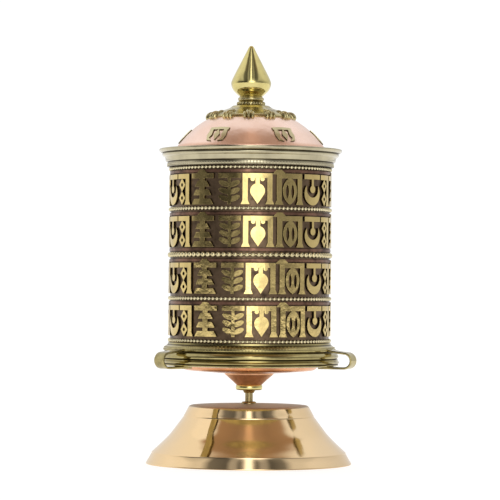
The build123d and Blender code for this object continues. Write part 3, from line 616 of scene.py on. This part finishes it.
wear(plate, plate_copper, "wheel", "plate_copper", "bottom_plate")

# %% [markdown]
# ## Rings of small shapes
# Beads, grains and knobs all stand in rings. One is modelled at its place, an array repeats
# it about an empty that is turned by one step, and the array is applied.

# %% Ring helpers


def ring_of(piece, count):
    """Repeat a piece round the spindle and keep the result as one mesh."""
    hub = bpy.data.objects.new("hub", None)
    bpy.context.scene.collection.objects.link(hub)
    hub.rotation_euler.z = 2 * math.pi / count
    bpy.context.view_layer.update()
    repeat = piece.modifiers.new("ring", "ARRAY")
    repeat.use_relative_offset = False
    repeat.use_object_offset = True
    repeat.offset_object = hub
    repeat.count = count
    bpy.ops.object.select_all(action="DESELECT")
    piece.select_set(True)
    bpy.context.view_layer.objects.active = piece
    bpy.ops.object.modifier_apply(modifier=repeat.name)
    bpy.data.objects.remove(hub)


def join(first, *others):
    """Join pieces into the first."""
    bpy.ops.object.select_all(action="DESELECT")
    for piece in (first, *others):
        piece.select_set(True)
    bpy.context.view_layer.objects.active = first
    bpy.ops.object.join()
    return first


def small_ball(name, reach_mm, level_mm, size_mm, lean=0.0, twist=0.0, sideways_mm=0.0, segments=8,
               rings=6):
    """A ball squeezed to three half-sizes in millimetres, leaning down or twisted sideways."""
    bpy.ops.object.select_all(action="DESELECT")
    bpy.ops.mesh.primitive_uv_sphere_add(segments=segments, ring_count=rings, radius=MM)
    made = bpy.context.object
    made.name = name
    made.scale = size_mm
    made.rotation_euler = (math.radians(twist), math.radians(lean), 0)
    made.location = (reach_mm * MM, sideways_mm * MM, level_mm * MM)
    bpy.ops.object.transform_apply(location=True, rotation=True, scale=True)
    bpy.ops.object.shade_smooth()
    return made


def grain_ring(name, reach_mm, level_mm, size_mm, count):
    """A ring of small grains on a band."""
    grain = small_ball(name, reach_mm, level_mm, size_mm, twist=-18, segments=6, rings=4)
    ring_of(grain, count)
    return grain


# %% [markdown]
# ## Flanges
# Both flanges are stamped sheet with mouldings: round beads with small hollows between them.
# A bump map could draw the lines, but the silhouette would stay straight. Here every bead is
# in the outline, so the light breaks on it as on the real edge.

# %% Bottom flange
web = low("bottom_flange").z
flange_side = [
    (DRUM - 2.3, web), (DRUM + 3.2, web), (DRUM + 3.9, web + 0.15), (DRUM + 4.12, web + 0.5),
    (DRUM + 3.98, web + 0.82), (DRUM + 3.8, web + 0.95), (DRUM + 3.85, web + 1.08),
    (DRUM + 4.2, web + 1.12), (DRUM + 4.45, web + 1.38), (DRUM + 4.5, web + 1.65),
    (DRUM + 4.32, web + 1.95), (DRUM + 3.95, web + 2.1), (DRUM + 3.85, web + 2.25),
    (DRUM + 4.0, web + 2.4), (DRUM + 3.95, web + 2.7), (DRUM + 3.6, web + 2.95),
    (DRUM + 3.5, web + 3.1),
    (DRUM + 3.65, web + 3.25), *curve_through([
        (DRUM + 4.0, web + 3.4), (DRUM + 4.12, web + 3.9), (DRUM + 4.0, web + 4.5),
        (DRUM + 3.62, web + 5.1),
        (DRUM + 3.1, web + 5.55), (DRUM + 2.55, web + 5.78)], 3),
    (DRUM + 2.2, web + 5.85), (DRUM + 2.15, web + 6.1), (DRUM + 2.5, web + 6.2),
    (DRUM + 2.75, web + 6.5), (DRUM + 2.8, web + 6.9), (DRUM + 2.6, web + 7.5),
    (DRUM + 2.2, web + 8.0), (DRUM + 1.7, web + 8.4), (DRUM + 1.15, web + 8.65),
    (DRUM + 0.95, web + 8.85), (DRUM + 0.9, web + 9.6), (DRUM, web + 9.6), (DRUM, web + 8.6),
    (DRUM + 0.6, web + 7.2), (DRUM + 1.8, web + 5.2), (DRUM + 2.9, web + 1.6),
    (DRUM + 2.2, web + 0.9), (DRUM - 2.3, web + 0.9), (DRUM - 2.3, web),
]
bottom_flange = turn("stamped_flange_low", flange_side, sides=180, crease=40)
low_grains = grain_ring("low_grains", DRUM + 2.62, web + 6.85, (0.32, 0.4, 0.4), 170)
more_grains = grain_ring("more_grains", DRUM + 2.3, web + 7.6, (0.32, 0.42, 0.4), 170)
bottom_flange = join(bottom_flange, low_grains, more_grains)
wear(bottom_flange, low_brass, "wheel", "flange_brass", "bottom_flange")

# %% Top flange
foot = low("top_flange").z
cornice = [
    (DRUM, foot), (DRUM + 0.9, foot), (DRUM + 1.35, foot + 0.12), (DRUM + 1.62, foot + 0.5),
    (DRUM + 1.68, foot + 1.0), (DRUM + 1.6, foot + 1.5), (DRUM + 1.5, foot + 1.75),
    (DRUM + 1.5, foot + 2.1), (DRUM + 2.2, foot + 2.3),
    *curve_through([
        (DRUM + 2.38, foot + 2.5), (DRUM + 2.45, foot + 3.1), (DRUM + 2.62, foot + 3.8),
        (DRUM + 2.8, foot + 4.2)], 4),
    (DRUM + 2.95, foot + 4.3), (DRUM + 3.25, foot + 4.42), (DRUM + 3.6, foot + 4.7),
    (DRUM + 3.78, foot + 5.05), (DRUM + 3.82, foot + 5.4), (DRUM + 3.72, foot + 5.65),
    (DRUM + 3.55, foot + 5.75), (DRUM + 3.6, foot + 5.95), (DRUM + 4.35, foot + 6.15),
    (DRUM + 4.85, foot + 6.55), (DRUM + 5.08, foot + 7.0), (DRUM + 5.1, foot + 7.3),
    (DRUM + 4.98, foot + 7.58), (DRUM + 4.6, foot + 7.7), (DRUM - 3.1, foot + 7.7),
    (DRUM - 3.3, foot + 7.5), (DRUM - 3.3, foot + 6.8), (DRUM + 2.9, foot + 6.8),
    (DRUM + 1.2, foot + 3.2), (DRUM, foot + 1.0), (DRUM, foot),
]
top_flange = turn("stamped_flange_high", cornice, sides=180, crease=40)
high_grains = grain_ring("high_grains", DRUM + 1.55, foot + 0.55, (0.28, 0.4, 0.34), 165)
more_grains = grain_ring("higher_grains", DRUM + 1.55, foot + 1.2, (0.28, 0.4, 0.34), 165)
top_flange = join(top_flange, high_grains, more_grains)
wear(top_flange, high_brass, "wheel", "flange_brass", "top_flange")

# %% [markdown]
# ## Drum wall and strips
# The wall is a soldered copper tube, darkened all over. Its inside shows when the lid is
# lifted, so it is turned with both faces rather than left as a single skin. The strips are
# flat copper with eased edges.

# %% Drum and strips
wall_in = DRUM - 0.8
drum_top = high("drum_shell").z
drum = turn("drum_wall", [
    (DRUM, DRUM_FLOOR), (DRUM, DRUM_FLOOR + 30), (DRUM, DRUM_FLOOR + 60), (DRUM, drum_top),
    (wall_in, drum_top), (wall_in, DRUM_FLOOR), (DRUM, DRUM_FLOOR),
], sides=180)
wear(drum, ground_copper, "wheel", "drum_copper", "drum_shell")

for node in ("copper_strip_1", "copper_strip_2", "copper_strip_3", "copper_strip_4", "grained_strip"):
    base, crown = low(node).z, high(node).z
    strip = turn(node + "_rolled", [
        (DRUM, base), (DRUM + 0.3, base), (DRUM + 0.5, base + 0.22), (DRUM + 0.5, crown - 0.22),
        (DRUM + 0.3, crown), (DRUM, crown), (DRUM, base),
    ], sides=180)
    wear(strip, strip_copper, "wheel", "strip_copper", node)

# %% [markdown]
# ## Beaded wires
# Beaded wire is rolled between notched dies. One bead is modelled, squeezed to its real
# width, and repeated round the drum by an array that an empty turns. Each bead has few
# faces because there are hundreds. The thick wire's beads lean, like a twisted rope.

# %% Beaded wires
WIRE_SEAT = 0.2
BEAD_PITCH = 1.86
THICK_BEAD_PITCH = 2.45
for number in range(1, 6):
    node = f"bead_wire_{number}"
    thick = (high(node).z - low(node).z) / 2
    level = (high(node).z + low(node).z) / 2
    is_thick = thick > 1.0
    pitch = THICK_BEAD_PITCH if is_thick else BEAD_PITCH
    middle = DRUM + WIRE_SEAT
    count = round(2 * math.pi * (middle + thick * 0.6) / pitch)
    bead_size = (thick * 0.95, pitch * (0.46 if is_thick else 0.37), thick * 0.99)
    bead = small_ball(f"beads_{number}", middle, level, bead_size, twist=-24 if is_thick else -14,
                      segments=10, rings=7)
    ring_of(bead, count)
    core = turn("core", [
        (DRUM, level - thick * 0.4), *round_bar(middle, level, thick * 0.4, -75, 75, 8),
        (DRUM, level + thick * 0.4), (DRUM, level - thick * 0.4),
    ], sides=120)
    wires = join(bead, core)
    wear(wires, thick_bead_brass if is_thick else bead_brass, "wheel", "bead_brass", node)

# %% [markdown]
# ## Relief
# The four rows are cut from brass plate and soldered on. Their outlines are true in the
# solids, so a welded copy is taken. Joining its flat triangles first lets a bevel run
# cleanly along every edge, and the bevel gives the filed, softly shining outline.

# %% Relief


def welded_copy(node, name, flat_degrees=3.0):
    """Copy a solid's mesh, weld its loose triangles and join those that lie flat."""
    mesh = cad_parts[node].data.copy()
    piece = bpy.data.objects.new(name, mesh)
    bpy.context.scene.collection.objects.link(piece)
    enter(piece)
    bpy.ops.mesh.remove_doubles(threshold=0.000002)
    bpy.ops.mesh.dissolve_limited(angle_limit=math.radians(flat_degrees))
    leave(piece)
    return piece


def soften(piece, width_mm, segments=2, limit_degrees=40):
    """Bevel the sharp edges of a piece and keep the result."""
    bevel = piece.modifiers.new("filed_edge", "BEVEL")
    bevel.width = width_mm * MM
    bevel.segments = segments
    bevel.limit_method = "ANGLE"
    bevel.angle_limit = math.radians(limit_degrees)
    bevel.use_clamp_overlap = True
    bpy.ops.object.select_all(action="DESELECT")
    piece.select_set(True)
    bpy.context.view_layer.objects.active = piece
    bpy.ops.object.modifier_apply(modifier=bevel.name)
    bpy.ops.object.shade_smooth_by_angle(angle=math.radians(50))
    flat = piece.modifiers.new("flat_faces", "WEIGHTED_NORMAL")
    flat.weight = 100
    flat.keep_sharp = True
    bpy.ops.object.modifier_apply(modifier=flat.name)


for number in range(1, 5):
    node = f"motif_row_{number}"
    relief = welded_copy(node, f"relief_row_{number}")
    soften(relief, 0.36, segments=3)
    wear(relief, relief_brass, "wheel", "relief_brass", node)

# %% [markdown]
# ## Finger loops
# Each loop is a strip of brass bent round: flat under the flange, round at the tip, and
# back up to the flange's side. A thin plane is extruded step by step along that bend,
# given the strap's thickness, and its edges eased. The other two loops are turned copies.

# %% Finger loops
loop_low = low("finger_loop_1").z + SHEET
reach = high("finger_loop_1").x - SHEET - 0.02
root = low("finger_loop_1").x
strap = high("finger_loop_1").y - low("finger_loop_1").y


def bend_path():
    """The strap's inner face as (reach, height), from under the flange to its side."""
    points = [(reach - 2.6, loop_low)]
    middle, level = reach - 2.65, loop_low + 2.65
    for degrees in range(-75, 76, 15):
        a = math.radians(degrees)
        points.append((middle + 2.65 * math.cos(a), level + 2.65 * math.sin(a)))
    points += [(reach - 5.2, loop_low + 5.55), (DRUM + 4.0, loop_low + 6.15),
               (DRUM + 1.2, loop_low + 6.7)]
    return points


bpy.ops.object.select_all(action="DESELECT")
bpy.ops.mesh.primitive_plane_add(size=1.0)
loop = bpy.context.object
loop.name = "strap_loop_1"
path_points = bend_path()
first_end = path_points[0][0]
loop.scale = ((first_end - root) * MM, strap * MM, 1)
loop.location = ((first_end + root) / 2 * MM, 0, loop_low * MM)
bpy.ops.object.transform_apply(location=True, rotation=True, scale=True)
enter(loop)
bpy.ops.mesh.select_all(action="DESELECT")
bpy.ops.mesh.select_mode(type="EDGE")
working = bmesh.from_edit_mesh(loop.data)
for edge in working.edges:
    if all(v.co.x > (first_end - 0.01) * MM for v in edge.verts):
        edge.select_set(True)
bmesh.update_edit_mesh(loop.data)
for here, there in zip(path_points, path_points[1:]):
    step = ((there[0] - here[0]) * MM, 0, (there[1] - here[1]) * MM)
    bpy.ops.mesh.extrude_region_move(TRANSFORM_OT_translate={"value": step})
leave(loop, 60)
wall = loop.modifiers.new("strap", "SOLIDIFY")
wall.thickness = SHEET * MM
wall.offset = 1.0
wall.use_even_offset = True
bpy.ops.object.modifier_apply(modifier=wall.name)
soften(loop, 0.22, segments=2, limit_degrees=50)
print("loop reaches", round(max(v.co.x for v in loop.data.vertices) / MM, 2), "mm")


def turned_copy(piece, name, degrees):
    """Copy a piece, with its own mesh, and turn it about the spindle."""
    other = bpy.data.objects.new(name, piece.data.copy())
    bpy.context.scene.collection.objects.link(other)
    other.data.transform(Matrix.Rotation(math.radians(degrees), 4, "Z"))
    return other


for number, degrees in ((2, 120), (3, 240)):
    wear(turned_copy(loop, f"strap_loop_{number}", degrees), loop_brass, "wheel", "loop_brass",
         f"finger_loop_{number}")
wear(loop, loop_brass, "wheel", "loop_brass", "finger_loop_1")

# %% [markdown]
# ## Scroll
# Inside is a paper roll, seen when the lid is off. Its end shows the edges of the turns. A
# real spiral of thin paper would be far too fine to see, so the turns are drawn coarser, as
# rings raised and lowered in turn.

# %% Scroll
scroll_low, scroll_high = low("prayer_scroll").z, high("prayer_scroll").z
scroll_out = high("prayer_scroll").x
scroll_in = 3.0
TURN_PITCH = 0.7
TURN_WIDTH = 0.62
TURN_DROP = 0.35
turns = []
layer = scroll_out
dropped = False
while layer > scroll_in + 1.0:
    dropped = not dropped
    drop = TURN_DROP if dropped else 0.0
    turns += [(layer, scroll_high - drop), (layer - TURN_WIDTH, scroll_high - drop - 0.05)]
    layer -= TURN_PITCH
roll_outline = [
    (scroll_out, scroll_low), *turns, (scroll_in, scroll_high - 0.2), (scroll_in, scroll_low),
    (scroll_out, scroll_low),
]
scroll = turn("paper_roll", roll_outline, sides=96, crease=30)
paper, tree = new_material("handmade_paper")
where = add(tree, "ShaderNodeTexCoord")
fibre = add(tree, "ShaderNodeTexNoise", {"Scale": 1 / (1.5 * MM), "Detail": 8.0},
            {"Vector": where.outputs["Object"]})
tone = add(tree, "ShaderNodeMix", {"data_type": "RGBA", 6: linear("#e9dfc4"), 7: linear("#c9b68c")},
           {0: fibre.outputs[0]})
fuzz = add(tree, "ShaderNodeBump", {"Distance": 0.05 * MM}, {"Height": fibre.outputs[0]})
matt = add(tree, "ShaderNodeBsdfPrincipled", {"Roughness": 0.85},
           {"Base Color": tone.outputs[2], "Normal": fuzz.outputs[0]})
add(tree, "ShaderNodeOutputMaterial", {}, {"Surface": matt.outputs[0]})
wear(scroll, paper, "wheel", "scroll_paper", "prayer_scroll")

band_paper, tree = new_material("dyed_paper_band")
where = add(tree, "ShaderNodeTexCoord")
fibre = add(tree, "ShaderNodeTexNoise", {"Scale": 1 / (2 * MM), "Detail": 8.0},
            {"Vector": where.outputs["Object"]})
tone = add(tree, "ShaderNodeMix", {"data_type": "RGBA", 6: linear("#d98b2b"), 7: linear("#b96f1d")},
           {0: fibre.outputs[0]})
matt = add(tree, "ShaderNodeBsdfPrincipled", {"Roughness": 0.8}, {"Base Color": tone.outputs[2]})
add(tree, "ShaderNodeOutputMaterial", {}, {"Surface": matt.outputs[0]})
dress("scroll_band", band_paper)

# %% [markdown]
# ## Lid
# The dome is spun copper buffed pink, part of a sphere. A sphere cut by a plane would give the
# outside alone, so its arc and the arc of its inside are turned as one outline. The skirt
# under it is plain. The ornaments are cut plate like the relief, so they are made like it.

# %% Dome
# Degrees up from level: where the outside and the inside start, and where both stop.
OUTSIDE_START = 34.25
INSIDE_START = 35.2
CROWN = 87.5


def arc(size, start, stop, steps):
    """Points on the dome's circle of this size, between two directions in degrees."""
    points = []
    for i in range(steps + 1):
        a = math.radians(start + (stop - start) * i / steps)
        points.append((size * math.cos(a), DOME_CENTRE + size * math.sin(a)))
    return points


cap = arc(DOME_SIZE, OUTSIDE_START, CROWN, 30)
under = arc(DOME_SIZE - SHEET, CROWN, INSIDE_START, 16)
dome = turn("copper_dome", [*cap, *under, cap[0]], sides=180, crease=50)
wear(dome, dome_copper, "lid", "dome_copper", "dome")
skirt = turn("lid_rim", [
    (28.8, LEDGE - 4.7), (29.5, LEDGE - 4.7), (29.7, LEDGE - 4.4), (29.7, LEDGE), (31.3, LEDGE),
    (31.5, LEDGE + 0.2), (31.5, LEDGE + 0.6), (31.3, LEDGE + 0.8), (28.8, LEDGE + 0.8),
    (28.8, LEDGE - 4.7),
], sides=144)
wear(skirt, dome_copper, "lid", "dome_copper", "lid_skirt")

# %% Dome ornaments
ornaments = welded_copy("dome_ornaments", "dome_reliefs")
soften(ornaments, 0.2)
wear(ornaments, ornament_brass, "lid", "relief_brass", "dome_ornaments")

# %% [markdown]
# ## Collar
# The collar is a cast cap with twelve knobs round its edge. Each knob is a fat middle rib
# between two thinner ones. One knob is shaped from a few squeezed balls, then repeated.

# %% Collar
collar_top = high("crown_collar").z
collar = turn("collar_cap", [
    (ROD, DOME_CENTRE + 37.4), (10.0, DOME_CENTRE + 36.1), (14.0, DOME_CENTRE + 34.7),
    (17.4, DOME_CENTRE + 33.1),
    (17.7, DOME_CENTRE + 33.5), *curve_through([
        (17.2, DOME_CENTRE + 34.3), (15.2, DOME_CENTRE + 35.2), (13.0, DOME_CENTRE + 36.1),
        (10.9, DOME_CENTRE + 36.9),
        (9.2, DOME_CENTRE + 37.5), (8.3, DOME_CENTRE + 38.1), (7.7, collar_top - 0.05)], 4),
    (7.3, collar_top), (ROD, collar_top), (ROD, DOME_CENTRE + 37.4),
], sides=144, crease=45)

KNOBS = 12
FIRST_KNOB = 19.5
knob_level = DOME_CENTRE + 34.0
ribs = [
    small_ball("knob", 16.7, knob_level, (2.5, 1.15, 1.95), lean=27, segments=16, rings=10),
    small_ball("knob_left", 16.8, knob_level - 0.3, (2.2, 0.9, 1.7), lean=27, sideways_mm=1.6,
               segments=16, rings=10),
    small_ball("knob_right", 16.8, knob_level - 0.3, (2.2, 0.9, 1.7), lean=27, sideways_mm=-1.6,
               segments=16, rings=10),
    small_ball("knob_back", 14.1, knob_level + 1.4, (1.5, 1.4, 1.0), lean=25, segments=16, rings=10),
]
knob = join(*ribs)
knob.data.transform(Matrix.Rotation(math.radians(FIRST_KNOB), 4, "Z"))
ring_of(knob, KNOBS)
collar = join(collar, knob)
wear(collar, collar_brass, "lid", "collar_brass", "crown_collar")

# %% [markdown]
# ## Neck rings and bud
# The lower ring is gadrooned: slanting ribs round a collar. The upper ring is a plain round
# moulding. The bud is turned: round below, with a soft shoulder and a straight point. A cone
# set on a ball would leave a seam at its widest, so one smooth curve makes both.

# %% Neck rings
neck = high("lower_neck_ring").z
rib = small_ball("rib", 5.15, collar_top + 0.85, (0.95, 0.5, 0.95), twist=-22, segments=10, rings=8)
ring_of(rib, 24)
lower_ring = turn("ring_core", [
    (ROD, collar_top), (5.1, collar_top), (5.5, collar_top + 0.4), (5.5, neck - 0.4), (5.1, neck),
    (ROD, neck), (ROD, collar_top),
], sides=72)
lower_ring = join(rib, lower_ring)
lower_ring.name = "gadroon_ring"
wear(lower_ring, collar_brass, "lid", "collar_brass", "lower_neck_ring")
neck_top = high("upper_neck_ring").z
upper_ring = turn("round_ring", [
    (ROD, neck), (4.6, neck), *round_bar(4.55, neck + 1.05, 0.95, -80, 80, 10), (4.7, neck_top - 0.15),
    (4.8, neck_top), (ROD, neck_top), (ROD, neck),
], sides=96)
wear(upper_ring, collar_brass, "lid", "collar_brass", "upper_neck_ring")

# %% Bud
bud_foot = neck_top
bud_tip = high("finial").z
widest = bud_foot + 5.2
bud = turn("turned_bud", [
    (0, low("finial").z), (1.6, low("finial").z), (1.6, bud_foot), *curve_through([
        (4.8, bud_foot), (6.2, bud_foot + 1.25), (7.4, bud_foot + 2.5), (8.1, bud_foot + 3.9),
        (8.38, widest), (8.36, widest + 0.75), (8.1, widest + 1.6), (7.6, widest + 2.75),
        (6.6, widest + 4.8), (5.3, widest + 7.3),
        (3.8, widest + 10.2), (2.3, widest + 13.1), (1.15, bud_tip - 0.85)], 4),
    (0.85, bud_tip - 0.4), (0.5, bud_tip - 0.1), (0, bud_tip),
], sides=96, crease=60)
wear(bud, turned_brass, "lid", "finial_brass", "finial")

# %% [markdown]
# ## Finish
# Every mesh's data is updated.

# %% Finish
for made in [o for o in bpy.data.objects if o.type == "MESH"]:
    made.data.update()
